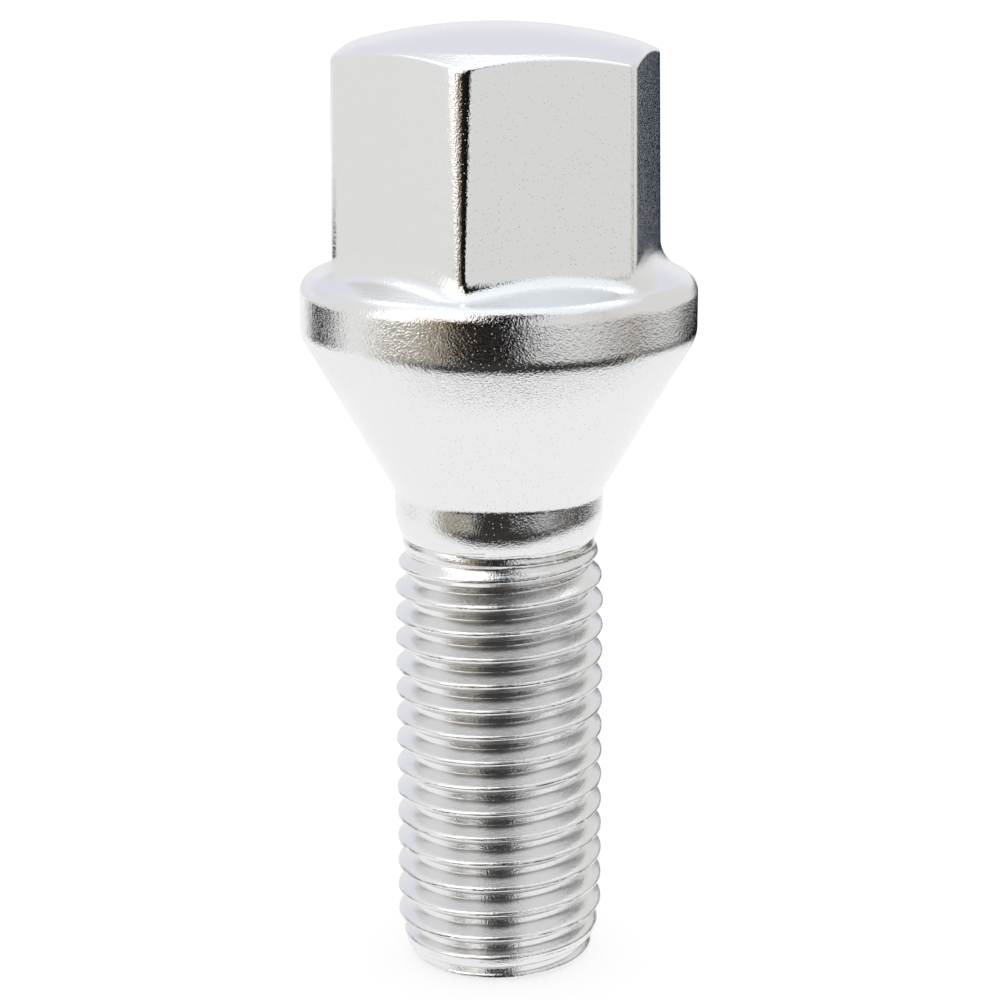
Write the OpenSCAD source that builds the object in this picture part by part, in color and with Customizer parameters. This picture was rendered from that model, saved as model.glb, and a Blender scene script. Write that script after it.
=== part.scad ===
// Wheel bolt: a domed hexagon head on a sloping flange, a conical seat, a plain neck and a
// right-hand rolled thread. It is forged in one piece and stands here on its tip, head up.
// The origin is the centre of the tip face and +Z runs along the axis to the head.

/* [Thread] */
// Diameter over the thread crests
thread_d = 11.8; // [11:0.1:12.4]
// Distance from one crest to the next
pitch = 1.5; // [1:0.05:1.75]
// Turns over which the thread runs out below the neck
runout_turns = 2.25; // [0.5:0.25:3]
// Direction from the axis in which a crest would cross the plane of the tip
thread_turn = 284; // [0:1:360]

/* [Shank] */
// Length from the tip to the small end of the conical seat
shank_len = 27.8; // [22:0.1:60]
// Diameter at the small end of the conical seat
neck_d = 11.72; // [11.4:0.02:14]
// Length of the plain neck between seat and thread
neck_len = 2.65; // [2.2:0.05:8]
// Radius of the round shoulder in which the neck ends towards the thread
neck_shoulder = 3.5; // [1:0.1:4]
// Rounding of the hollow corner between neck and conical seat
neck_round = 0.8; // [0.2:0.1:1]
// Diameter of the flat end face
tip_d = 10.1; // [6:0.1:10.8]
// Length of the bulged bevel at the tip
tip_len = 1.6; // [0.8:0.1:3]
// How far the bevel at the tip bulges out past a straight one
tip_bulge = 0.12; // [0.02:0.01:0.3]

/* [Seat and flange] */
// Included angle of the conical seat
seat_angle = 60; // [50:1:90]
// Diameter at the large end of the conical seat
seat_d = 21.5; // [18:0.1:21.8]
// Diameter of the flange
flange_d = 22; // [21.6:0.1:26]
// Height of the flange edge above the large end of the seat, before rounding
rim_h = 3.4; // [2:0.05:5]
// Slope of the flange top, in degrees below level
flange_slope = 25; // [15:1:35]
// Rounding of the upper edge of the flange
rim_top_round = 1; // [0.3:0.1:1.5]
// Height of the rounded lower edge of the flange
rim_foot_h = 0.9; // [0.3:0.1:1.2]

/* [Hexagon head] */
// Width across the flats at the foot of the hexagon
hex_af = 16.85; // [16:0.05:17.6]
// Height from the flange edge to the top of the dome
head_h = 13.95; // [11:0.1:18]
// Rounding of the six upright edges
hex_round = 1; // [0.4:0.1:2]
// Draft of the flats, in degrees
hex_draft = 0.7; // [0:0.1:2]
// Radius of the hollow fillet round the foot of the hexagon
foot_fillet = 1.6; // [0.5:0.1:1.8]
// Radius of the sphere that the dome is part of
dome_sphere_r = 30; // [20:1:80]
// Diameter of the dome where the bevelled edge begins
dome_d = 15.75; // [12:0.05:16.4]
// Slope of the bevelled edge round the dome, in degrees below level
dome_edge_slope = 22; // [18:1:40]

/* [Fineness] */
// Straight steps in one turn of the thread
thread_steps = 36; // [24:4:40]
// Straight steps in each rounded upright edge of the hexagon
corner_steps = 6; // [3:1:8]
// Straight steps along each flat of the hexagon
flat_steps = 6; // [2:1:8]
// Straight steps in the hollow of the foot fillet
fillet_steps = 7; // [3:1:10]

/* [Hidden] */
steel = [0.8, 0.81, 0.83];
overrun = 1;
round_steps = 8;
runout_bend = 1.5;
revolve_fn = 96;
hex_sides = 6;

// Thread form: flank lines at 30 degrees, a bevelled crest and a flat root
depth_share = 0.6;
thread_r = thread_d / 2;
thread_depth = depth_share * pitch;
// Rolling raises the crests as much as it sinks the roots, so the blank lies between them
blank_share = 0.54;
blank_r = thread_r - blank_share * thread_depth;
// Heights in one pitch, as shares of the pitch, and how deep each lies, as shares of the depth
form_h_share = [-0.413, -0.1, -0.047, 0.047, 0.1, 0.413];
form_deep_share = [1, 0.09, 0, 0, 0.09, 1];
form_n = len(form_h_share);
neck_end_z = shank_len - neck_len;
// The neck stands just proud of the blank where it ends, and is closed off inside it
neck_low_r = blank_r + thread_depth / 20;
neck_core_r = blank_r - thread_depth / 4;
neck_core_z = neck_end_z - (neck_low_r - neck_core_r);
runout_end_z = neck_end_z + pitch / 10;
runout_len = runout_turns * pitch;
// The helix starts below the tip and ends inside the neck, and both ends are cut or covered
thread_turns = ceil(neck_end_z / pitch) + 2;
thread_low_z = -pitch;

// Seat and flange heights
neck_r = neck_d / 2;
seat_r = seat_d / 2;
flange_r = flange_d / 2;
seat_top_z = shank_len + (seat_r - neck_r) / tan(seat_angle / 2);
rim_z = seat_top_z + rim_h;
rim_foot_z = seat_top_z + rim_foot_h;

// Head heights
dome_top_z = rim_z + head_h;
dome_r = dome_d / 2;
dome_edge_z = dome_top_z - dome_sphere_r + sqrt(pow(dome_sphere_r, 2) - pow(dome_r, 2));
hex_r = hex_af / sqrt(3);
// Distance from the axis at which the rounding of the flange edge begins
rim_inner_r = flange_r - rim_top_round * tan(45 - flange_slope / 2) * cos(flange_slope);
// The fillet ends in a skirt that dips under the flange top
skirt = foot_fillet / 8;

// Points of a curve from a to b that bulges to its right by the given amount
function bulged(a, b, bulge) =
    let (run = b - a, side = [run[1], -run[0]] / norm(run))
    [for (i = [0:round_steps])
        let (t = i / round_steps)
        a + run * t + side * bulge * 4 * t * (1 - t)];

// Points of a round corner of the given radius at p, between the directions to a and to b
function rounded(p, a, b, radius) =
    let (
        ua = (a - p) / norm(a - p),
        ub = (b - p) / norm(b - p),
        half = acos(ua * ub) / 2,
        centre = p + (ua + ub) / norm(ua + ub) * radius / sin(half),
        start = p + ua * radius / tan(half) - centre,
        turn = 180 - 2 * half,
        way = sign(ua[0] * ub[1] - ua[1] * ub[0])
    )
    [for (i = [0:round_steps])
        let (t = -way * turn * i / round_steps)
        centre + [start[0] * cos(t) - start[1] * sin(t), start[0] * sin(t) + start[1] * cos(t)]];

// Points of the round shoulder, from the neck's lower end up to its full diameter
function shoulder() =
    let (turn = acos(1 - (neck_r - neck_low_r) / neck_shoulder))
    [for (i = [0:round_steps])
        let (a = turn * (1 - i / round_steps))
        [neck_r - neck_shoulder * (1 - cos(a)), neck_end_z + neck_shoulder * (sin(turn) - sin(a))]];

// Height of the flange top at a distance r from the axis
function flange_z(r) = rim_z + (flange_r - r) * tan(flange_slope);

// Half section of neck, seat and flange
module flange_body() {
    top = [0, flange_z(0)];
    rim = [flange_r, rim_z];
    foot = [flange_r, rim_foot_z];
    foot_bulge = (flange_r - seat_r) / 4;
    rotate_extrude($fn = revolve_fn)
        polygon(concat(
            [[0, neck_core_z], [neck_core_r, neck_core_z]],
            shoulder(),
            rounded([neck_r, shank_len], [neck_r, neck_end_z], [seat_r, seat_top_z], neck_round),
            bulged([seat_r, seat_top_z], foot, foot_bulge),
            rounded(rim, foot, top, rim_top_round),
            [[0, flange_z(hex_af / 4)]]
        ));
}

// Outline of the hexagon at its foot: each point with the direction it faces
function hex_points() =
    [for (k = [0:hex_sides - 1])
        let (
            side = 360 / hex_sides,
            reach = (hex_af / 2 - hex_round) / cos(side / 2),
            mid = reach * [cos(side * k), sin(side * k)],
            next = reach * [cos(side * (k + 1)), sin(side * (k + 1))]
        )
        each concat(
            [for (i = [0:corner_steps])
                let (a = side * (k - 0.5 + i / corner_steps))
                [mid + hex_round * [cos(a), sin(a)], a]],
            [for (i = [1:flat_steps - 1])
                let (a = side * (k + 0.5))
                [mid + (next - mid) * i / flat_steps + hex_round * [cos(a), sin(a)], a]]
        )];

// How far the drafted flats stand back at the height z
function draft_at(z) = -(z - rim_z) * tan(hex_draft);

// Section of the foot fillet at one outline point: from under the flange top up to the flat
function foot_section(point, facing) =
    let (
        lean = max(0, cos(atan2(point[1], point[0]) - facing)),
        beta = atan(tan(flange_slope) * lean),
        r = norm(point),
        // At the corners the fillet is limited by the room up to the rounded flange edge
        fillet = min(foot_fillet, (rim_inner_r - r) / (1 - sin(beta))),
        centre_z = flange_z(r) + fillet * (1 - sin(beta)) / cos(beta),
        centre_out = fillet + draft_at(centre_z),
        turn = 90 - beta,
        skirt_out = centre_out - fillet * sin(beta) + skirt,
        skirt_r = norm(point + skirt_out * [cos(facing), sin(facing)])
    )
    concat(
        [[0, flange_z(r) - foot_fillet], [skirt_out, flange_z(skirt_r) - skirt]],
        [for (i = [0:fillet_steps])
            let (a = 180 + turn * (1 - i / fillet_steps))
            [centre_out + fillet * cos(a), centre_z + fillet * sin(a)]]
    );

// Hexagon with its fillet, as rings of points from below the flange top to past the dome
module hexagon_post() {
    outline = hex_points();
    n = len(outline);
    post_top = dome_top_z + overrun;
    columns = [for (p = outline)
        let (out = [cos(p[1]), sin(p[1])], section = foot_section(p[0], p[1]))
        concat(
            [for (s = section) [p[0][0] + out[0] * s[0], p[0][1] + out[1] * s[0], s[1]]],
            [let (d = draft_at(post_top)) [p[0][0] + out[0] * d, p[0][1] + out[1] * d, post_top]]
        )];
    rows = len(columns[0]);
    low = [0, 0, flange_z(hex_r) - foot_fillet];
    high = [0, 0, post_top];
    points = concat([for (column = columns) each column], [low, high]);
    faces = [for (i = [0:n - 1])
        let (j = (i + 1) % n)
        each concat(
            [[i * rows, j * rows, n * rows]],
            [[j * rows + rows - 1, i * rows + rows - 1, n * rows + 1]],
            [for (k = [0:rows - 2])
                each [[i * rows + k, i * rows + k + 1, j * rows + k + 1],
                    [i * rows + k, j * rows + k + 1, j * rows + k]]]
        )];
    polyhedron(points, faces);
}

// Dome and bevelled edge that trim the top of the hexagon
module dome_cap() {
    dome = [for (i = [0:2 * round_steps])
        let (r = dome_r * (1 - i / (2 * round_steps)))
        [r, dome_top_z - dome_sphere_r + sqrt(pow(dome_sphere_r, 2) - pow(r, 2))]];
    edge_z = dome_edge_z - (flange_r - dome_r) * tan(dome_edge_slope);
    rotate_extrude($fn = revolve_fn)
        polygon(concat([[0, seat_top_z], [flange_r, seat_top_z], [flange_r, edge_z]], dome));
}

// Distance of the thread surface from the axis, at height z and depth share deep.
// In the run-out the crests rise first and the roots sink in more slowly.
function thread_at(z, deep) =
    let (
        left = min(1, max(0, (runout_end_z - z) / runout_len)),
        ease = 1 - pow(1 - left, runout_bend),
        rise = (blank_share - deep) * thread_depth
    )
    blank_r + rise * (rise > 0 ? ease : ease * ease);

// The helical skin, closed by a fan at each end
module thread_skin() {
    steps = thread_turns * thread_steps;
    grid = [for (i = [0:steps])
        let (a = thread_turn + 360 * i / thread_steps, base = thread_low_z + pitch * i / thread_steps)
        each [for (k = [0:form_n - 1])
            let (z = base + form_h_share[k] * pitch, r = thread_at(z, form_deep_share[k]))
            [r * cos(a), r * sin(a), z]]];
    low = [0, 0, thread_low_z];
    high = [0, 0, thread_low_z + (thread_turns + 1) * pitch];
    points = concat(grid, [low, high]);
    low_i = (steps + 1) * form_n;
    high_i = low_i + 1;
    last = form_n - 1;
    // Between two steps, the form's own bands and the root band up to the turn above
    bands = [for (i = [0:steps - 1], k = [0:last - 1])
        let (p = i * form_n + k, q = p + form_n)
        each [[p, p + 1, q + 1], [p, q + 1, q]]];
    roots = [for (i = [0:steps - thread_steps - 1])
        let (p = i * form_n + last, q = p + form_n, up = (i + thread_steps) * form_n)
        each [[p, up, up + form_n], [p, up + form_n, q]]];
    low_fan = concat(
        [for (k = [0:last - 1]) [k + 1, k, low_i]],
        [[thread_steps * form_n, last, low_i]],
        [for (i = [0:thread_steps - 1]) [i * form_n, (i + 1) * form_n, low_i]]
    );
    first_top = steps - thread_steps;
    high_fan = concat(
        [for (k = [0:last - 1]) [steps * form_n + k, steps * form_n + k + 1, high_i]],
        [[first_top * form_n + last, steps * form_n, high_i]],
        [for (i = [first_top:steps - 1]) [(i + 1) * form_n + last, i * form_n + last, high_i]]
    );
    polyhedron(points, concat(bands, roots, low_fan, high_fan));
}

// Thread cut to length, with the tip's flat face and bulged bevel
module threaded_shank() {
    tip_r = tip_d / 2;
    bevel_r = thread_r - thread_depth / 3;
    outer_r = thread_r + overrun;
    end_z = neck_end_z + pitch / 2;
    intersection() {
        thread_skin();
        rotate_extrude($fn = revolve_fn)
            polygon(concat(
                [[0, 0]],
                bulged([tip_r, 0], [bevel_r, tip_len], tip_bulge),
                [[outer_r, tip_len + (outer_r - bevel_r) * tip_len / (bevel_r - tip_r)]],
                [[outer_r, end_z], [0, end_z]]
            ));
    }
}

module wheel_bolt() {
    color(steel)
    union() {
        threaded_shank();
        flange_body();
        intersection() {
            hexagon_post();
            dome_cap();
        }
    }
}

wheel_bolt();
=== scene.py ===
"""Looks of the wheel bolt: one fine skin of the forged and rolled steel, bright plating on it,
a pale floor and a white light tent. Forms are worked out in millimetres and made in metres."""
import math

import bmesh
import bpy
import numpy as np
from mathutils import Euler, Matrix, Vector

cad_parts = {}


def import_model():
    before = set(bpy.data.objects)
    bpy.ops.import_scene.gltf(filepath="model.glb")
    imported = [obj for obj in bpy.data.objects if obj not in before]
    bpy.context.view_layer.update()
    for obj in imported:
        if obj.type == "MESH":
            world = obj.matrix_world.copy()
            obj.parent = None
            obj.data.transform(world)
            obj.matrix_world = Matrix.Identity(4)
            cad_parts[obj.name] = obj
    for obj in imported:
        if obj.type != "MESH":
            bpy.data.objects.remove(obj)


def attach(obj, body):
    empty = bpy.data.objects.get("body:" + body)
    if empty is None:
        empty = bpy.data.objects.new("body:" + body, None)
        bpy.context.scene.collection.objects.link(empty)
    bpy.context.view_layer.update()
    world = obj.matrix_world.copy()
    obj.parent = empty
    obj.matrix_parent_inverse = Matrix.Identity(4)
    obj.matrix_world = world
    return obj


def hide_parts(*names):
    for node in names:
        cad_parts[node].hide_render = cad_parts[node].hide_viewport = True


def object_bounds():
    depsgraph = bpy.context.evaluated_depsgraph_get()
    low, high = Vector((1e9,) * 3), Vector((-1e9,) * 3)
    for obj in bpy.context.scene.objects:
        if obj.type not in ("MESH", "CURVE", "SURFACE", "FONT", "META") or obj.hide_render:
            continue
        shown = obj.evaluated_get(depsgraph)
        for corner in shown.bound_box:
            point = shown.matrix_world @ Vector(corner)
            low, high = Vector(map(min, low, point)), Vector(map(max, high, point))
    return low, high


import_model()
cad_low, cad_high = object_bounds()
MM = 0.001

# Thread, in millimetres
PITCH = 1.5
THREAD_R = 5.9
THREAD_DEPTH = 0.6 * PITCH
BLANK_R = THREAD_R - 0.54 * THREAD_DEPTH
THREAD_TURN = math.radians(284.0)
RUNOUT_LEN = 2.25 * PITCH
RUNOUT_BEND = 1.5
# Both ends of the straight flank: height from the crest and depth
FLANK_IN = (0.1 * PITCH, 0.09 * THREAD_DEPTH)
FLANK_OUT = (0.413 * PITCH, THREAD_DEPTH)
ROOT_ROUND = 0.17
# The thread is made from below the tip to above the neck's lower end, and cut off at both
FIRST_TURN = -2
SPARE_TURNS = 4

# Seam that rolling leaves on the crest. Its depth varies within a range, and it wanders sideways
SEAM_WIDTH = 0.03
SEAM_DEPTH = 0.03
SEAM_RANGE = (-0.6, 1.6)
SEAM_WANDER = 0.012
# Uneven values along it: over how many steps each of them changes, and its random seed
COARSE = (3, 11)
FINE = (1, 12)
SIDEWAYS = (2, 13)
FINE_SHARE = 0.6

# Shank
SHANK_LEN = 27.8
NECK_R = 5.86
NECK_END_Z = SHANK_LEN - 2.65
NECK_LOW_R = BLANK_R + THREAD_DEPTH / 20
NECK_SHOULDER = 3.5
NECK_ROUND = 0.8
RUNOUT_END_Z = NECK_END_Z - PITCH / 20
# Under the thread the neck's form ends in a steep step, this long and this deep
NECK_STEP_LEN = 0.12
NECK_STEP_DEPTH = 0.4
# Softness of the thread's joint to the neck and to the bevel
NECK_BLEND = 0.04
TIP_BLEND = 0.12
# The root reaches its full depth sooner than the crest: where it starts, and over what length
ROOT_END_Z = RUNOUT_END_Z - 0.45
ROOT_LEN = 2.0
# How far the shank stands back right under the neck, and over what length
LAST_LEN = 0.42
LAST_DEPTH = 0.085
# Height of the ring where thread and neck are stitched together, and the least gap to the next row
JOIN_Z = NECK_END_Z + 0.4
JOIN_GAP = 0.05
TIP_R = 5.05
TIP_LEN = 1.6
TIP_BULGE = 0.12
# Height where the thread gives way to the round edge of the tip's face
TIP_CUT_Z = 0.15
TIP_ROUND = 0.8 * TIP_CUT_Z
BEVEL_R = THREAD_R - THREAD_DEPTH / 3

# Seat and flange
SEAT_HALF = math.radians(30)
SEAT_R = 10.75
FLANGE_R = cad_high.y / MM
FOOT_BULGE = (FLANGE_R - SEAT_R) / 4
SEAT_TOP_Z = SHANK_LEN + (SEAT_R - NECK_R) / math.tan(SEAT_HALF)
RIM_Z = SEAT_TOP_Z + 3.4
RIM_FOOT_Z = SEAT_TOP_Z + 0.9
RIM_TOP_ROUND = 1.0
FLANGE_SLOPE = math.radians(25)

# Hexagon head
HEX_HALF = 16.85 / 2
# Rounding of each upright edge at its foot and at its top, from the edge on +X round to the left
EDGE_ROUND = ((1.7, 2.3), (1.0, 1.2), (1.0, 1.2), (1.5, 1.6), (0.72, 1.75), (0.66, 0.72))
HEX_DRAFT = math.radians(0.7)
FOOT_FILLET = 1.6
FOOT_FREE = 0.08
TOP_Z = cad_high.z / MM
DOME_SPHERE = 30.0
DOME_R = 15.45 / 2
DOME_EDGE_SLOPE = math.radians(22)
# The stamped top leans a little: how much lower it stands for each millimetre towards this direction
LEAN = 0.006
LEAN_WAY = math.radians(-18)
TOP_EDGE_ROUND = 0.22
DOME_EDGE_ROUND = 0.2
DOME_EDGE_OUT = 0.4 * DOME_EDGE_ROUND
LEAST_BEVEL = 0.02

# Fineness of round forms
CORNER_STEPS = 8
FLAT_STEPS = 14
ROUND_STEPS = 10
SHOULDER_STEPS = 24
BEVEL_STEPS = 24
FILLET_STEPS = 12
SOFT_STEPS = 6
THREAD_ROUND_STEPS = 5
TIP_ROUND_STEPS = 5

# Places of the rows on each plain stretch, as shares of it
FLANK_SHARES = (0.06, 0.35, 0.65, 0.94)
NECK_SHARES = (0.1, 0.5, 0.9)
CONE_SHARES = (0.04, 0.15, 0.3, 0.45, 0.6, 0.75, 0.88, 0.96)
RIM_SHARES = (0.05, 0.25, 0.5, 0.75, 0.95)
FLANGE_SHARES = (0.06, 0.3, 0.6, 0.85, 0.96)
FLAT_FOOT_SHARE = 0.01
FLAT_SHARES = (0.1, 0.2, 0.3, 0.4, 0.5, 0.6, 0.7, 0.8, 0.9, 0.96, 0.99, 1)
BEVEL_SHARES = (0, 0.06, 0.35, 0.65, 0.94)
DOME_SHARES = (1, 0.99, 0.93, 0.82, 0.7, 0.57, 0.44, 0.31, 0.19, 0.09)
TIP_SHARES = (0.1, 0.4, 0.7, 0.9)

# How close a vertex has to be to a cut to belong to it, and rounds of work to find the flats' top edge
CUT_NEAR = 1e-5
RING_NEAR = 1e-4
TOP_ROUNDS = 6


def unit(v):
    return v / np.linalg.norm(v, axis=-1, keepdims=True)


def bulged(a, b, bulge, steps):
    """Points from a to b on a curve that stands out to its right by the given amount."""
    a, b = np.array(a, float), np.array(b, float)
    run = b - a
    side = np.array([run[1], -run[0]]) / np.linalg.norm(run)
    t = np.linspace(0, 1, steps + 1)[:, None]
    return a + run * t + side * bulge * 4 * t * (1 - t)


def rounded(p, a, b, radius, steps):
    """Points of a round corner at p, between the directions to a and to b."""
    p, a, b = (np.array(q, float) for q in (p, a, b))
    ua, ub = unit(a - p), unit(b - p)
    half = math.acos(float(ua @ ub)) / 2
    centre = p + unit(ua + ub) * radius / math.sin(half)
    start = p + ua * radius / math.tan(half) - centre
    way = -math.copysign(1, ua[0] * ub[1] - ua[1] * ub[0])
    t = way * (math.pi - 2 * half) * np.linspace(0, 1, steps + 1)
    return centre + np.stack([start[0] * np.cos(t) - start[1] * np.sin(t),
                              start[0] * np.sin(t) + start[1] * np.cos(t)], 1)


def flange_z(r):
    return RIM_Z + (FLANGE_R - r) * math.tan(FLANGE_SLOPE)


def draft_at(z):
    return -(z - RIM_Z) * math.tan(HEX_DRAFT)


def ray(a):
    return np.array([math.cos(a), math.sin(a)])


def hexagon(rounding):
    """Outline of a hexagon with the given rounding at each corner, and the way that each point faces."""
    side = math.pi / 3
    points, facing = [], []
    for k, edge_round in enumerate(rounding):
        corner = (HEX_HALF - edge_round) / math.cos(side / 2) * ray(side * k)
        for i in range(CORNER_STEPS + 1):
            a = side * (k - 0.5 + i / CORNER_STEPS)
            points.append(corner + edge_round * ray(a))
            facing.append(a)
        next_round = rounding[(k + 1) % 6]
        a = side * (k + 0.5)
        start = points[-1]
        end = (HEX_HALF - next_round) / math.cos(side / 2) * ray(side * (k + 1)) + next_round * ray(a)
        for i in range(1, FLAT_STEPS):
            points.append(start + (end - start) * i / FLAT_STEPS)
            facing.append(a)
    return np.array(points), np.array(facing)


def foot_fillet(outline, facing, rim_inner_r, steps):
    """Rows of the hollow fillet from the flange top, of which a little stays free, up to the flats."""
    lean = np.maximum(0, np.cos(np.arctan2(outline[:, 1], outline[:, 0]) - facing))
    beta = np.arctan(math.tan(FLANGE_SLOPE) * lean)
    r = np.linalg.norm(outline, axis=1)
    fillet = np.minimum(FOOT_FILLET, (rim_inner_r - FOOT_FREE - r) / (1 - np.sin(beta)))
    centre_z = flange_z(r) + fillet * (1 - np.sin(beta)) / np.cos(beta)
    centre_out = fillet + draft_at(centre_z)
    out = np.stack([np.cos(facing), np.sin(facing)], 1)
    rows = []
    for i in range(steps + 1):
        a = math.pi + (math.pi / 2 - beta) * (1 - i / steps)
        reach = centre_out + fillet * np.cos(a)
        rows.append(np.column_stack([outline + out * reach[:, None], centre_z + fillet * np.sin(a)]))
    gap = flange_z(np.linalg.norm(rows[0][:, :2], axis=1)) - rows[0][:, 2]
    for i, row in enumerate(rows):
        row[:, 2] += gap * (1 - i / steps) ** 2
    return rows


def profile_rows(profile, angles):
    """Rings of points round the axis, one for each radius and height of the profile."""
    return [np.column_stack([r * np.cos(angles), r * np.sin(angles), np.full(len(angles), z)])
            for r, z in profile]


def between(a, b, shares):
    return [a + (b - a) * s for s in shares]


def bend(a, corner, b):
    """Rows of a soft edge from a to b round the corner, without its two ends."""
    return [a * (1 - t) ** 2 + corner * 2 * t * (1 - t) + b * t ** 2
            for t in np.linspace(0, 1, SOFT_STEPS + 1)[1:-1]]


def dome_z(r):
    return TOP_Z - DOME_SPHERE * (1 + LEAN ** 2) + np.sqrt(DOME_SPHERE ** 2 - r ** 2)


def bevel_z(r):
    return dome_z(DOME_R) - (r - DOME_R) * math.tan(DOME_EDGE_SLOPE)


def top_drop(points):
    """How much lower the leaning top stands at each of the points."""
    return LEAN * (points[:, :2] @ ray(LEAN_WAY))


def neck_curve():
    """Profile of the neck: the round shoulder at its lower end, then straight up to the cone."""
    turn = math.acos(1 - (NECK_R - NECK_LOW_R) / NECK_SHOULDER)
    a = turn * np.linspace(1, 0, SHOULDER_STEPS + 1)
    shoulder = np.stack([NECK_R - NECK_SHOULDER * (1 - np.cos(a)),
                         NECK_END_Z + NECK_SHOULDER * (math.sin(turn) - np.sin(a))], 1)
    return np.concatenate([shoulder, [[NECK_R, SHANK_LEN]]])


def body_profile():
    """Half section from the neck to where the flange top begins."""
    neck = neck_curve()
    seat_foot, seat_top = neck[-1], np.array([SEAT_R, SEAT_TOP_Z])
    blend = rounded(seat_foot, [NECK_R, neck[0, 1]], seat_top, NECK_ROUND, ROUND_STEPS)
    neck = neck[(neck[:, 1] > JOIN_Z + JOIN_GAP) & (neck[:, 1] < blend[0, 1] - JOIN_GAP)]
    neck = np.concatenate([neck, between(neck[-1], blend[0], NECK_SHARES)])
    cone = between(blend[-1], seat_top, CONE_SHARES)
    foot = bulged(seat_top, [FLANGE_R, RIM_FOOT_Z], FOOT_BULGE, ROUND_STEPS)
    rim = rounded([FLANGE_R, RIM_Z], [FLANGE_R, RIM_FOOT_Z], [0, flange_z(0)], RIM_TOP_ROUND, ROUND_STEPS)
    side = between(foot[-1], rim[0], RIM_SHARES)
    return np.concatenate([neck, blend, cone, foot, side, rim])


def thread_form():
    """Heights from the crest and depths over one pitch, from root to root."""
    slope = (FLANK_OUT[1] - FLANK_IN[1]) / (FLANK_OUT[0] - FLANK_IN[0])
    lean = math.atan(slope)
    apex = FLANK_IN[1] - slope * FLANK_IN[0]
    crest_round = -apex / (1 / math.cos(lean) - 1)
    deep_apex = FLANK_IN[1] + slope * (PITCH / 2 - FLANK_IN[0])
    root_centre = deep_apex - ROOT_ROUND / math.cos(lean)
    crest = [(crest_round * math.sin(a), crest_round * (1 - math.cos(a)))
             for a in np.linspace(0, lean, THREAD_ROUND_STEPS + 1)]
    crest = [(h, d + SEAM_DEPTH * max(0, 1 - h / SEAM_WIDTH)) for h, d in crest]
    root = [(PITCH / 2 - ROOT_ROUND * math.sin(a), root_centre + ROOT_ROUND * math.cos(a))
            for a in np.linspace(lean, 0, THREAD_ROUND_STEPS + 1)]
    (h0, d0), (h1, d1) = crest[-1], root[0]
    flank = [(h0 + (h1 - h0) * s, d0 + (d1 - d0) * s) for s in FLANK_SHARES]
    seam = [(SEAM_WIDTH, crest_round - math.sqrt(crest_round ** 2 - SEAM_WIDTH ** 2))]
    half = [crest[0]] + seam + crest[1:] + flank + root
    return np.array([(-h, d) for h, d in half[:0:-1]] + half[:-1])


def neck_radius(z):
    """Radius of the neck at the height z. Below the neck it drops away under the thread."""
    neck = neck_curve()
    z_known = np.concatenate([[NECK_END_Z - NECK_STEP_LEN], neck[:, 1]])
    r_known = np.concatenate([[NECK_LOW_R - NECK_STEP_DEPTH], neck[:, 0]])
    return np.interp(z, z_known, r_known)


def tip_radius(z):
    """Radius of the bulging bevel at the height z, going on straight above it."""
    bevel = bulged([TIP_R, 0], [BEVEL_R, TIP_LEN], TIP_BULGE, BEVEL_STEPS)
    beyond = BEVEL_R + (z - TIP_LEN) * (BEVEL_R - TIP_R) / TIP_LEN
    return np.where(z > TIP_LEN, beyond, np.interp(z, bevel[:, 1], bevel[:, 0]))


def smooth_min(a, b, k):
    h = np.maximum(k - np.abs(a - b), 0) / k
    return np.minimum(a, b) - h * h * k / 4


def uneven(count, width, seed):
    """Smooth random values about zero, one to a step, that change over the given number of steps."""
    values = np.random.default_rng(seed).normal(size=count + 2 * width)
    blur = np.hanning(2 * width + 3)[1:-1]
    return np.convolve(values, blur / np.sqrt(np.sum(blur ** 2)), "valid")[:count]


def cut_seam(r, z, ease, whole):
    """Makes the crest seam deeper and shallower by turns. Returns its painted shade, which lies where it is
    deep.
    """
    count, crest = len(r), r.shape[1] // 2
    depth = whole * (uneven(count, *COARSE) + FINE_SHARE * uneven(count, *FINE))
    wander = SEAM_WANDER * whole * uneven(count, *SIDEWAYS)
    r[:, crest] -= SEAM_DEPTH * np.clip(depth, *SEAM_RANGE) * ease[:, crest]
    z[:, crest - 1:crest + 2] += wander[:, None]
    # Painted shade: the seam is darkened where it is cut deep
    seam_shade = np.zeros_like(r)
    seam_shade[:, crest - 1:crest + 2] = np.clip(depth, 0, 1)[:, None] * ease[:, crest - 1:crest + 2]
    return seam_shade


def thread_quads(turn_steps, steps, rows):
    """Quads along the winding strip, and those that join the root of each turn to the next turn."""
    p = (np.arange(steps)[:, None] * rows + np.arange(rows - 1)[None, :]).ravel()
    own = np.stack([p, p + rows, p + rows + 1, p + 1], 1)
    p = np.arange(steps - turn_steps) * rows
    up = p + turn_steps * rows
    root = np.stack([p + rows - 1, p + 2 * rows - 1, up + rows, up], 1)
    return np.concatenate([own, root])


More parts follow.
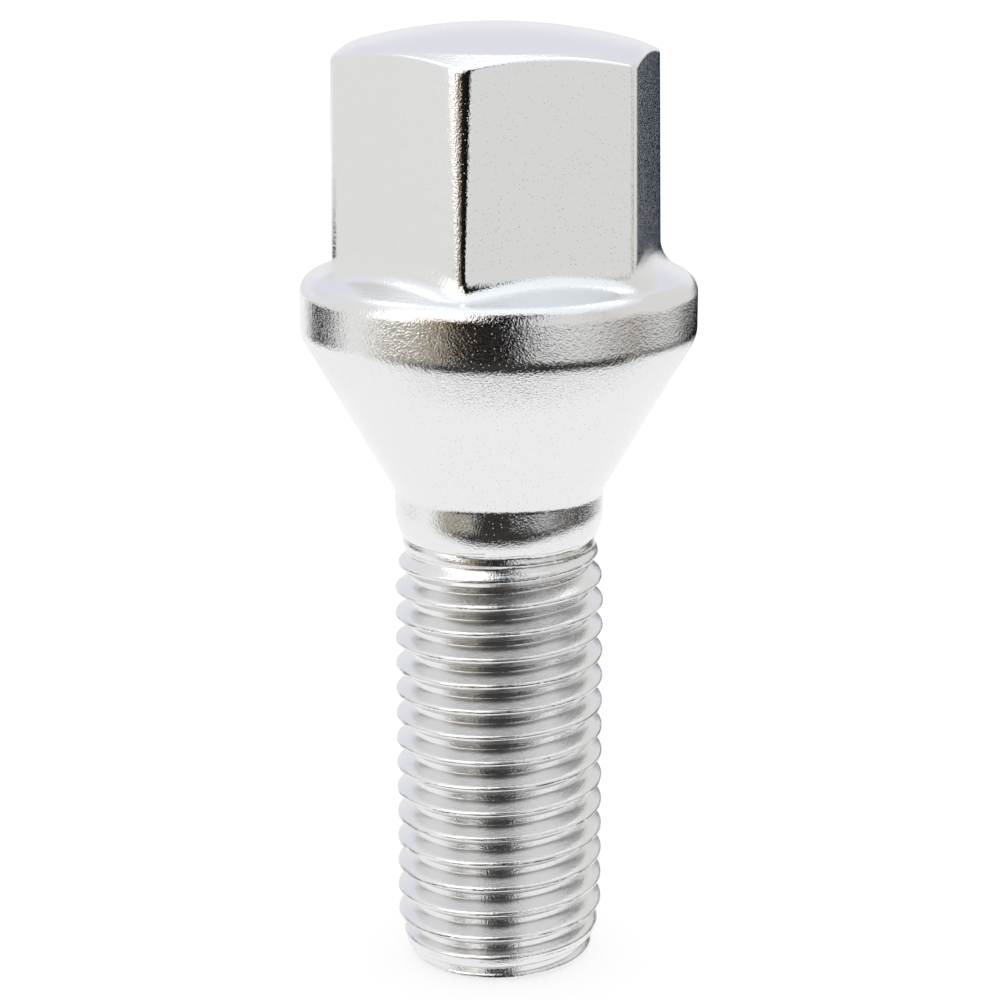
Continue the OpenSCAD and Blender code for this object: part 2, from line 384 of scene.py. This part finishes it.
def thread_grid(angles):
    """Points of the rolled thread and the plain shank above it, quads between them, and the seam's painted
    shade.
    """
    form = thread_form()
    n = len(angles)
    steps = (math.ceil(JOIN_Z / PITCH) + SPARE_TURNS) * n
    i = np.arange(steps + 1)
    a = angles[i % n] + 2 * math.pi * (i // n)
    base = PITCH * ((a - THREAD_TURN) / (2 * math.pi) + FIRST_TURN)
    z = base[:, None] + form[None, :, 0]
    left = np.clip((RUNOUT_END_Z - z) / RUNOUT_LEN, 0, 1)
    ease = 1 - (1 - left) ** RUNOUT_BEND
    rise = THREAD_R - form[None, :, 1] - BLANK_R
    root_ease = 1 - (1 - np.clip((ROOT_END_Z - z) / ROOT_LEN, 0, 1)) ** 2
    last = np.clip(1 - (NECK_END_Z - z) / LAST_LEN, 0, 1)
    r = BLANK_R + rise * np.where(rise > 0, ease, root_ease) - LAST_DEPTH * last
    seam_shade = cut_seam(r, z, ease, np.clip(base - 1, 0, 1))
    r = -smooth_min(-r, -neck_radius(z), NECK_BLEND)
    r = smooth_min(r, tip_radius(z), TIP_BLEND)
    points = np.stack([r * np.cos(a)[:, None], r * np.sin(a)[:, None], z], -1).reshape(-1, 3)
    return points, thread_quads(n, steps, len(form)), seam_shade.ravel()


def turn_of(vert):
    return math.atan2(vert.co.y, vert.co.x)


def by_angle(verts):
    return sorted(verts, key=turn_of)


def open_ring(bm, z):
    """Open edge vertices at the height z, in order round the axis."""
    return by_angle({v for e in bm.edges if e.is_boundary for v in e.verts if abs(v.co.z - z) < RING_NEAR})


def stitch(bm, low, high):
    """Triangles between two rings with different angles, the lower one inside when seen from above."""
    i = j = 0
    a, b = len(low), len(high)
    while i < a or j < b:
        next_low = turn_of(low[(i + 1) % a]) + (2 * math.pi if i + 1 >= a else 0)
        next_high = turn_of(high[(j + 1) % b]) + (2 * math.pi if j + 1 >= b else 0)
        if j >= b or (i < a and next_low <= next_high):
            bm.faces.new((low[i % a], low[(i + 1) % a], high[j % b]))
            i += 1
        else:
            bm.faces.new((low[i % a], high[(j + 1) % b], high[j % b]))
            j += 1


def add_rows(bm, rows):
    """Rings of vertices with quads between them. Returns the first and the last ring."""
    rings = [[bm.verts.new(p) for p in row] for row in rows]
    for low, high in zip(rings, rings[1:]):
        for k in range(len(low)):
            m = (k + 1) % len(low)
            bm.faces.new((low[k], low[m], high[m], high[k]))
    return rings[0], rings[-1]


def add_fan(bm, ring, middle_z, faces_up):
    """Triangles from a ring to one vertex on the axis."""
    middle = bm.verts.new((0, 0, middle_z))
    for vert, following in zip(ring, ring[1:] + ring[:1]):
        pair = (vert, following) if faces_up else (following, vert)
        bm.faces.new((*pair, middle))


def flange_rows(rim_row, fillet_row):
    """Rows of the flange's sloping top, from the rim to the foot of the fillet."""
    rows = between(rim_row, fillet_row, FLANGE_SHARES)
    for row in rows:
        row[:, 2] = flange_z(np.linalg.norm(row[:, :2], axis=1))
    return rows


def top_rows(edge, flat_top):
    """Rows from the top of the flats over the soft edges and the bevel to the last ring of the dome."""
    edge_r = np.linalg.norm(edge[:, :2], axis=1)
    way = edge[:, :2] / edge_r[:, None]

    def ring(r, height):
        place = way * r[:, None]
        return np.column_stack([place, height - top_drop(place)])
    bevel_start = edge_r - TOP_EDGE_ROUND
    bevel_end = np.minimum(DOME_R + DOME_EDGE_OUT, bevel_start - LEAST_BEVEL)
    rows = bend(flat_top, edge, ring(bevel_start, bevel_z(bevel_start)))
    for share in BEVEL_SHARES:
        r = bevel_start + (bevel_end - bevel_start) * share
        rows.append(ring(r, bevel_z(r)))
    dome_start = np.full(len(edge_r), DOME_R - DOME_EDGE_ROUND)
    corner = np.full(len(edge_r), DOME_R)
    low = ring(bevel_end, bevel_z(bevel_end))
    high = ring(dome_start, dome_z(dome_start))
    rows.append(low)
    rows += bend(low, ring(corner, dome_z(corner)), high)
    for share in DOME_SHARES:
        r = dome_start * share
        rows.append(ring(r, dome_z(r)))
    return rows


def head_rows(outline, facing, angles):
    """Rows of the whole upper body, from the neck to the last ring of the dome."""
    profile = body_profile()
    rows = profile_rows(profile, angles)
    fillet = foot_fillet(outline, facing, profile[-1][0], FILLET_STEPS)
    rows += flange_rows(rows[-1], fillet[0]) + fillet
    top_outline = hexagon([top for _, top in EDGE_ROUND])[0]
    foot_z = np.max(fillet[-1][:, 2])
    out = np.stack([np.cos(facing), np.sin(facing)], 1)

    def flat_at(z):
        up = np.clip((z - foot_z) / (TOP_Z - foot_z), 0, 1)[:, None]
        return np.column_stack([outline + (top_outline - outline) * up + out * draft_at(z)[:, None], z])
    top_z = np.full(len(outline), TOP_Z)
    for _ in range(TOP_ROUNDS):
        edge = flat_at(top_z)
        top_z = bevel_z(np.linalg.norm(edge[:, :2], axis=1)) - top_drop(edge)
    flat_top = flat_at(top_z - TOP_EDGE_ROUND)
    rows.append(fillet[-1] + (flat_top - fillet[-1]) * (0, 0, FLAT_FOOT_SHARE))
    for share in FLAT_SHARES:
        rows.append(flat_at(fillet[-1][:, 2] * (1 - share) + flat_top[:, 2] * share))
    return rows + top_rows(flat_at(top_z), flat_top)


def tip_profile():
    """Half section of the tip's face with its round edge, from near the axis outwards."""
    edge_r = float(tip_radius(np.array(TIP_CUT_Z)))
    corner = rounded([TIP_R, 0], [0, 0], [edge_r, TIP_CUT_Z], TIP_ROUND, TIP_ROUND_STEPS)
    return [(TIP_R * s, 0) for s in TIP_SHARES] + [tuple(p) for p in corner]


def cut_shank(bm):
    """Cuts the thread off at the tip and where the neck joins it."""
    for z, way in ((TIP_CUT_Z, {"clear_inner": True}), (JOIN_Z, {"clear_outer": True})):
        bmesh.ops.bisect_plane(bm, geom=bm.verts[:] + bm.edges[:] + bm.faces[:], dist=CUT_NEAR,
                               plane_co=(0, 0, z), plane_no=(0, 0, 1), **way)


def bolt_mesh():
    """The whole bolt as one closed skin. Slot 0 is the bright plating and slot 1 the satin thread."""
    outline, facing = hexagon([foot for foot, _ in EDGE_ROUND])
    foot = foot_fillet(outline, facing, body_profile()[-1][0], 1)[0]
    angles = np.unwrap(np.arctan2(foot[:, 1], foot[:, 0]))
    points, quads, seam_shade = thread_grid(angles)
    mesh = bpy.data.meshes.new("wheel_bolt_steel")
    mesh.from_pydata(points.tolist(), [], quads.tolist())
    # The painted shade of the crest seams goes with the mesh as a point attribute
    mesh.attributes.new("seam_shade", "FLOAT", "POINT").data.foreach_set("value", seam_shade)
    bm = bmesh.new()
    bm.from_mesh(mesh)
    cut_shank(bm)
    first, last = add_rows(bm, head_rows(outline, facing, angles))
    stitch(bm, open_ring(bm, JOIN_Z), by_angle(first))
    add_fan(bm, last, TOP_Z, faces_up=True)
    inner, outer = add_rows(bm, profile_rows(tip_profile(), angles))
    stitch(bm, by_angle(outer), open_ring(bm, TIP_CUT_Z))
    add_fan(bm, inner, 0, faces_up=False)
    bmesh.ops.triangulate(bm, faces=[f for f in bm.faces if len(f.verts) > 4])
    for f in bm.faces:
        f.smooth = True
        f.material_index = int(TIP_CUT_Z < f.calc_center_median().z < NECK_END_Z)
    for v in bm.verts:
        v.co *= MM
    bm.normal_update()
    bm.to_mesh(mesh)
    bm.free()
    return mesh


bolt = bpy.data.objects.new("bolt_skin", bolt_mesh())
bpy.context.scene.collection.objects.link(bolt)
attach(bolt, "root")
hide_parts("wheel_bolt")

# Share of the light that the plating mirrors, and its roughness, of which the neck has a little more
PLATING = (0.81, 0.81, 0.81, 1)
BRIGHT_ROUGHNESS = 0.08
NECK_ROUGHNESS = 0.02
SATIN_ROUGHNESS = 0.17
# Painted shade in the crest seams, darkest where they are cut deep: its colour, and the noise that breaks
# it into dashes
SEAM_SHADE = (0.10, 0.09, 0.08, 1)
SEAM_SHADE_SCALE = 6.0
SEAM_SHADE_RANGE = (0.42, 0.58)

# Relief of the forged body: waves or cells to a millimetre, and depths. The places named add theirs
PEEL_SCALE = 4.0
PEEL_DEPTH = 0.004
RIM_PEEL = 0.008
GRAIN_SCALE = 9.5
GRAIN_DEPTH = 0.011
RIM_GRAIN = 0.01
NECK_GRAIN = 0.006
CONE_GRAIN = 0.03
EDGE_GRAIN = 0.018
PIT_SCALE = 5.0
PIT_SHARE = 0.9
PIT_RADIUS = 0.16
PIT_DEPTH = 0.02

# Relief of the rolled thread: its grain, and lines along it that are deeper near the neck
ROLLED_GRAIN = 0.018
LINE_SCALE = 1.3
LINE_STRETCH = (0.5, 0.5, 5.0)
LINE_DEPTH = 0.004
NECK_LINE = 0.016

# Where each place fades in from below and from above: the height where it is nothing, then the full one
NECK_FADE = (SHANK_LEN + 0.9, SHANK_LEN - 0.1)
RIM_FADES = ((SEAT_TOP_Z - 0.8, SEAT_TOP_Z + 0.6), (RIM_Z + 0.3, RIM_Z - 0.4))
CONE_FADES = ((SEAT_TOP_Z - 3.5, SEAT_TOP_Z - 0.5), (SEAT_TOP_Z + 0.5, SEAT_TOP_Z - 0.1))
LINE_FADES = ((NECK_END_Z - 1.5, NECK_END_Z - 0.9), (NECK_END_Z - 0.2, NECK_END_Z - 0.5))
EDGE_FADE = (RIM_Z + 0.8, RIM_Z + 1.6)
# The upright edge with the pebbled side faces this way, and the cosines between which that side fades in
WORN_EDGE = (math.cos(math.radians(228)), math.sin(math.radians(228)), 0)
WORN_COSINES = (0.955, 0.98)


class Nodes:
    """Short ways to add and link shader nodes."""

    def __init__(self, tree):
        self.nodes, self.links = tree.nodes, tree.links

    def put(self, target, value):
        if isinstance(value, bpy.types.NodeSocket):
            self.links.new(value, target)
        else:
            target.default_value = value

    def add(self, kind, settings=None, **inputs):
        node = self.nodes.new(kind)
        for name, value in (settings or {}).items():
            setattr(node, name, value)
        for name, value in inputs.items():
            self.put(node.inputs[name.replace("_", " ")], value)
        return node

    def math(self, operation, *values):
        node = self.nodes.new("ShaderNodeMath")
        node.operation = operation
        for socket, value in zip(node.inputs, values):
            self.put(socket, value)
        return node.outputs[0]

    def between(self, value, low, high, at_low=0.0, at_high=1.0):
        """Smooth change from at_low to at_high while the value goes from low to high."""
        node = self.add("ShaderNodeMapRange", {"interpolation_type": "SMOOTHSTEP"}, Value=value,
                        From_Min=low, From_Max=high, To_Min=at_low, To_Max=at_high)
        return node.outputs["Result"]

    def zone(self, height, fades):
        """1 inside a zone of heights that fades in from below and from above, 0 outside it."""
        from_below, from_above = fades
        return self.math("MULTIPLY", self.between(height, *from_below), self.between(height, *from_above))

    def noise(self, where, scale, detail=2.0):
        return self.add("ShaderNodeTexNoise", Vector=where, Scale=scale, Detail=detail).outputs[0]

    def stretched(self, where, scale):
        return self.add("ShaderNodeMapping", {"vector_type": "POINT"}, Vector=where, Scale=scale).outputs[0]

    def height(self, where):
        return self.add("ShaderNodeSeparateXYZ", Vector=where).outputs["Z"]

    def along(self, vector, way):
        """How far the vector goes along the direction."""
        product = self.add("ShaderNodeVectorMath", {"operation": "DOT_PRODUCT"})
        self.links.new(vector, product.inputs[0])
        product.inputs[1].default_value = way
        return product.outputs["Value"]

    def mixed(self, share, first, second):
        """Colour that goes from the first to the second as the share grows from 0 to 1."""
        mix = self.add("ShaderNodeMix", {"data_type": "RGBA"})
        for socket, value in zip((mix.inputs[0], mix.inputs[6], mix.inputs[7]), (share, first, second)):
            self.put(socket, value)
        return mix.outputs[2]

    def spots(self, where, scale, share, radius):
        """Round dimples, one in a share of the cells: 1 in the middle of each and 0 outside."""
        cells = self.add("ShaderNodeTexVoronoi", Vector=where, Scale=scale)
        chosen = self.add("ShaderNodeSeparateColor", Color=cells.outputs["Color"])
        near = self.between(cells.outputs["Distance"], 0.0, radius, 1.0, 0.0)
        return self.math("MULTIPLY", near, self.math("LESS_THAN", chosen.outputs[0], share))

    def bump(self, height, distance, below=None):
        """Relief of the given height in metres, laid over the relief below it."""
        node = self.add("ShaderNodeBump", Height=height, Distance=distance)
        if below is not None:
            self.links.new(below, node.inputs["Normal"])
        return node.outputs[0]


def plating(name, satin):
    """Bright plating: mirror-like with orange peel and pits, or the satin of the rolled thread."""
    material = bpy.data.materials.new(name)
    material.use_nodes = True
    n = Nodes(material.node_tree)
    shader = n.nodes["Principled BSDF"]
    shader.inputs["Metallic"].default_value = 1
    mm = n.stretched(n.add("ShaderNodeTexCoord").outputs["Object"], (1 / MM, 1 / MM, 1 / MM))
    if satin:
        relief = rolled_relief(n, mm)
        n.links.new(seam_colour(n, mm), shader.inputs["Base Color"])
        shader.inputs["Roughness"].default_value = SATIN_ROUGHNESS
    else:
        relief, neck = forged_relief(n, mm)
        shader.inputs["Base Color"].default_value = PLATING
        roughness = n.math("MULTIPLY_ADD", neck, NECK_ROUGHNESS, BRIGHT_ROUGHNESS)
        n.links.new(roughness, shader.inputs["Roughness"])
    n.links.new(relief, shader.inputs["Normal"])
    return material


def rolled_relief(n, mm):
    """Fine grain, and the lines that the rolling dies left along the thread."""
    near_neck = n.zone(n.height(mm), LINE_FADES)
    line_depth = n.math("MULTIPLY_ADD", near_neck, NECK_LINE * MM, LINE_DEPTH * MM)
    lines = n.bump(n.noise(n.stretched(mm, LINE_STRETCH), LINE_SCALE), line_depth)
    return n.bump(n.noise(mm, GRAIN_SCALE), ROLLED_GRAIN * MM, lines)


def forged_relief(n, mm):
    """Orange peel, grain and pits of the forged body, and how far a place belongs to the neck."""
    height = n.height(mm)
    neck = n.between(height, *NECK_FADE)
    rim = n.zone(height, RIM_FADES)
    cone_top = n.zone(height, CONE_FADES)
    faces_edge = n.between(n.along(n.add("ShaderNodeTexCoord").outputs["Normal"], WORN_EDGE), *WORN_COSINES)
    edge = n.math("MULTIPLY", faces_edge, n.between(height, *EDGE_FADE))
    peel_depth = n.math("MULTIPLY_ADD", rim, RIM_PEEL * MM, PEEL_DEPTH * MM)
    relief = n.bump(n.noise(mm, PEEL_SCALE, 1.0), peel_depth)
    grain_depth = GRAIN_DEPTH * MM
    for place, added in ((rim, RIM_GRAIN), (neck, NECK_GRAIN), (cone_top, CONE_GRAIN), (edge, EDGE_GRAIN)):
        grain_depth = n.math("MULTIPLY_ADD", place, added * MM, grain_depth)
    relief = n.bump(n.noise(mm, GRAIN_SCALE), grain_depth, relief)
    pits = n.spots(mm, PIT_SCALE, PIT_SHARE, PIT_RADIUS)
    return n.bump(n.math("MULTIPLY", pits, -1.0), PIT_DEPTH * MM, relief), neck


def seam_colour(n, mm):
    """Colour of the thread: plating, with painted shade in dark dashes along the deep parts of the crest
    seams.
    """
    seam_shade = n.add("ShaderNodeAttribute", {"attribute_name": "seam_shade"}).outputs["Fac"]
    dashes = n.between(n.noise(mm, SEAM_SHADE_SCALE), *SEAM_SHADE_RANGE)
    return n.mixed(n.math("MULTIPLY", seam_shade, dashes), PLATING, SEAM_SHADE)


bolt.data.materials.append(plating("bright_plating", satin=False))
bolt.data.materials.append(plating("satin_thread", satin=True))

# Camera, as fitted to the outline in the photo: place, tilt down and roll, and its lens
CAMERA_TURN = math.radians(-18.2)
CAMERA_PLACE = (149.55, 0.055, 65.67)
CAMERA_DOWN = 0.253
CAMERA_ROLL = math.radians(-0.09)
CAMERA_LENS = 98.7
CAMERA_SENSOR = 36
CAMERA_REACH = (0.01, 20)

# The studio is laid out from the bolt's axis: forward is towards the camera, side is the picture's right
FORWARD = np.array([math.sin(CAMERA_TURN), -math.cos(CAMERA_TURN)])
SIDE = np.array([math.cos(CAMERA_TURN), math.sin(CAMERA_TURN)])
WALL_CARDS = 4


def studio(forward, side, up):
    """Metres in the part's frame from millimetres forward, to the side and up."""
    ground = (FORWARD * forward + SIDE * side) * MM
    return (ground[0], ground[1], up * MM)


def square(half, z):
    return [(-half, -half, z), (half, -half, z), (half, half, z), (-half, half, z)]


def glow(name, colour, strength=1.0):
    material = bpy.data.materials.new(name)
    material.use_nodes = True
    nodes = material.node_tree.nodes
    nodes.clear()
    light = nodes.new("ShaderNodeEmission")
    light.inputs["Color"].default_value = (*colour, 1)
    light.inputs["Strength"].default_value = strength
    out = nodes.new("ShaderNodeOutputMaterial")
    material.node_tree.links.new(light.outputs[0], out.inputs["Surface"])
    return material


def card(name, points, colour, strength=1.0, faces=((0, 1, 2, 3),)):
    """A card that only the bolt's plating mirrors: nothing else sees it."""
    mesh = bpy.data.meshes.new(name)
    mesh.from_pydata([studio(*p) for p in points], [], faces)
    mesh.materials.append(glow(name, colour, strength))
    piece = bpy.data.objects.new(name, mesh)
    bpy.context.scene.collection.objects.link(piece)
    piece.visible_camera = False
    piece.visible_diffuse = False
    piece.visible_shadow = False
    piece.visible_transmission = False


def standing_card(name, side_angles, distance, heights, colour, strength=1.0):
    """An upright card between two directions, in degrees to the right of the camera."""
    (a, b), (low, high) = (np.radians(side_angles), heights)
    start, end = [(distance * math.cos(t), distance * math.sin(t)) for t in (a, b)]
    card(name, [(*start, low), (*end, low), (*end, high), (*start, high)], colour, strength)


def band(name, near, far, stops, colour):
    """A card bent round the bolt. Each stop is a direction, and the heights of the near and far edge."""
    points = []
    for side_angle, near_z, far_z in stops:
        t = math.radians(side_angle)
        points += [(d * math.cos(t), d * math.sin(t), z) for d, z in ((near, near_z), (far, far_z))]
    faces = [(k, k + 2, k + 3, k + 1) for k in range(0, len(points) - 2, 2)]
    card(name, points, colour, faces=faces)


def wall(name, side_angles, distance, heights, colour):
    """An upright round wall of the tent, made of cards."""
    edges = np.linspace(*side_angles, WALL_CARDS + 1)
    for i, pair in enumerate(zip(edges, edges[1:])):
        standing_card(f"{name}_{i}", pair, distance, heights, colour)


WHITE = (1, 1, 1)
WARM_WHITE = (1, 0.96, 0.9)
DARK_TABLE = (0.045, 0.042, 0.04)
BLACK = (0.006, 0.005, 0.005)
BROWN = (0.022, 0.014, 0.010)
GOLD = (0.42, 0.30, 0.16)
KHAKI = (0.52, 0.49, 0.42)
DARK_KHAKI = (0.33, 0.29, 0.21)
SLATE = (0.004, 0.015, 0.035)
TAN = (0.38, 0.32, 0.27)
SKIRT = (0.12, 0.12, 0.12)
RIGHT_WALL = (0.82, 0.82, 0.81)
SIDE_WALL = (0.82, 0.81, 0.79)
LEFT_WALL = (0.88, 0.88, 0.87)

# The table's dark edge: distance of its near side, and its stops. All of it ends at the same distance
TABLE_END = 151
TABLE = (
    ("table_left", TABLE_END, ((-68, -32, -23), (-60, -49, -26), (-45, -80, -26))),
    ("table_middle", TABLE_END, ((-20, -97, 5), (0, -104, 5), (20, -97, 4))),
    ("table_right", TABLE_END, ((80, -35, -10), (100, -27, -5), (123, -14, 2), (141, -3, 11), (152, 5, 9))),
    ("near_left", 38, ((-45, 2.5, -26), (-27, -3.9, -26))),
    ("near_right", 38, ((-27, -3.9, 5), (-15, -6.4, 5), (0, -7.2, 5), (15, -6.2, 5), (20, -5.4, 4),
                        (30, -2.9, -6), (39, -0.3, -15), (44, 1.7, -19), (55, 6.6, -17), (80, 12.5, -10))),
)
# The bright ground that the plating mirrors in place of the floor
GROUND_HALF = 2000
GROUND_Z = -200
GROUND_STRENGTH = 1.03

# Upright cards: directions, distance, heights, colour and strength. First the dark camera and the
# lights beside it, then the soft lights at the left, then what shows on the rim and the right flat
CAMERA_CARDS = (
    ("camera_dark", (-10, 15), 150, (0, 245), BLACK),
    ("camera_brown", (-30, -10), 151, (0, 72), BROWN),
    ("soft_light_middle", (-27, -13), 151, (72, 245), WARM_WHITE, 1.6),
    ("camera_shade", (-13, -10), 151, (72, 245), BROWN),
    ("camera_arm", (14, 33), 149, (125, 245), BLACK),
    ("light_edge", (-43, -30), 152, (0, 85), GOLD),
)
SOFT_LIGHTS = (
    ("soft_light_low", (-71, -43), 160, (25, 121), WHITE, 1.7),
    ("soft_light_high", (-75, -24), 160, (121, 500), WHITE, 1.7),
)
SIDE_CARDS = (
    ("slate_right", (149, 167), 200, (2, 40), SLATE),
    ("rim_right", (121, 175), 119, (9, 22), BLACK),
    ("rim_left", (-134, -103), 116, (8, 27), BLACK),
    ("frame_right", (58, 61), 86, (14, 120), TAN),
    ("frame_side", (75, 84), 116, (5, 40), TAN),
)
WALLS = (
    ("wall_right", (20, 62), 88, (14.5, 120), RIGHT_WALL),
    ("wall_side", (62, 150), 118, (14, 150), SIDE_WALL),
    ("skirt_right", (16, 150), 118, (0, 14), SKIRT),
    ("wall_left", (-124, -72), 118, (7, 150), LEFT_WALL),
)
# The khaki wall at the left, paler below: directions of its stops, distance and heights
KHAKI_STOPS = (-72, -50, -30)
KHAKI_DISTANCE = 149
KHAKI_BANDS = (("khaki_low", (-26, 0), KHAKI), ("khaki_high", (0, 22), DARK_KHAKI))


def cards():
    """All cards that the plating mirrors."""
    for name, near, stops in TABLE:
        band(name, near, TABLE_END, stops, DARK_TABLE)
    card("ground", square(GROUND_HALF, GROUND_Z), WHITE, GROUND_STRENGTH)
    for values in CAMERA_CARDS:
        standing_card(*values)
    for name, heights, colour in KHAKI_BANDS:
        stops = [(side_angle, *heights) for side_angle in KHAKI_STOPS]
        band(name, KHAKI_DISTANCE, KHAKI_DISTANCE, stops, colour)
    for values in SOFT_LIGHTS:
        standing_card(*values)
    for values in WALLS:
        wall(*values)
    for values in SIDE_CARDS:
        standing_card(*values)


cards()

# Floor, in metres. Part of its white is its own glow, so the bolt's shadow on it stays pale
FLOOR_HALF = 3.0
FLOOR_SHADE = (0.4, 0.4, 0.4, 1)
FLOOR_GLOW = 0.66


def floor():
    """The pale floor, which the plating doesn't mirror: the ground and the table stand in for it."""
    mesh = bpy.data.meshes.new("floor")
    mesh.from_pydata(square(FLOOR_HALF, 0), [], [(0, 1, 2, 3)])
    piece = bpy.data.objects.new("floor", mesh)
    bpy.context.scene.collection.objects.link(piece)
    piece.visible_glossy = False
    material = bpy.data.materials.new("floor_white")
    material.use_nodes = True
    shader = material.node_tree.nodes["Principled BSDF"]
    shader.inputs["Base Color"].default_value = FLOOR_SHADE
    shader.inputs["Roughness"].default_value = 1
    shader.inputs["Specular IOR Level"].default_value = 0
    shader.inputs["Emission Color"].default_value = (1, 1, 1, 1)
    shader.inputs["Emission Strength"].default_value = FLOOR_GLOW
    mesh.materials.append(material)


floor()

# Light of the tent behind the bolt and in front of it, by height: sine of the elevation, then the colour
TENT_BACK = (
    (0.0, (0.86, 0.86, 0.86)),
    (0.12, (0.94, 0.94, 0.98)),
    (0.35, (0.82, 0.83, 0.90)),
    (0.60, (0.88, 0.89, 0.95)),
    (0.75, (0.93, 0.95, 1.0)),
    (0.82, (2.2, 2.2, 2.2)),
    (1.0, (1.2, 1.2, 1.25)),
)
TENT_FRONT = (
    (0.0, (0.86, 0.86, 0.86)),
    (0.4, (0.95, 0.95, 0.96)),
    (0.7, (1.0, 1.03, 1.07)),
    (0.9, (1.05, 1.12, 1.18)),
    (1.0, (1.15, 1.17, 1.22)),
)
# The back turns into the front between these cosines of the angle from the camera's direction
TENT_TURN = (-0.45, -0.1)


def tent_light(n, up, stops):
    """Colour of the tent's light for the given sine of the elevation."""
    ramp = n.add("ShaderNodeValToRGB", Fac=up)
    elements = ramp.color_ramp.elements
    for place, _ in stops[2:]:
        elements.new(place)
    for element, (place, colour) in zip(elements, stops):
        element.position = place
        element.color = (*colour, 1)
    return ramp.outputs[0]


def world():
    """White for the camera and for soft light, and the tent's own shades where the plating mirrors it."""
    tent = bpy.data.worlds.new("tent")
    tent.use_nodes = True
    n = Nodes(tent.node_tree)
    way = n.add("ShaderNodeTexCoord").outputs["Generated"]
    up = n.height(way)
    front = n.between(n.along(way, (*FORWARD, 0)), *TENT_TURN)
    shade = n.mixed(front, tent_light(n, up, TENT_BACK), tent_light(n, up, TENT_FRONT))
    seen = n.add("ShaderNodeBackground", Color=shade)
    back = n.add("ShaderNodeBackground", Color=(1, 1, 1, 1))
    path = n.add("ShaderNodeLightPath")
    mix = n.add("ShaderNodeMixShader")
    n.links.new(path.outputs["Is Glossy Ray"], mix.inputs[0])
    n.links.new(back.outputs[0], mix.inputs[1])
    n.links.new(seen.outputs[0], mix.inputs[2])
    n.links.new(mix.outputs[0], n.nodes["World Output"].inputs["Surface"])
    bpy.context.scene.world = tent


world()


def camera():
    data = bpy.data.cameras.new("camera")
    data.sensor_width = CAMERA_SENSOR
    data.lens = CAMERA_LENS
    data.clip_start, data.clip_end = CAMERA_REACH
    piece = bpy.data.objects.new("camera", data)
    piece.location = studio(*CAMERA_PLACE)
    aim = Euler((math.pi / 2 - CAMERA_DOWN, 0, CAMERA_TURN)).to_matrix()
    piece.rotation_euler = (aim @ Matrix.Rotation(CAMERA_ROLL, 3, "Z")).to_euler()
    bpy.context.scene.collection.objects.link(piece)
    bpy.context.scene.camera = piece
    bpy.context.scene.view_settings.view_transform = "Standard"


camera()
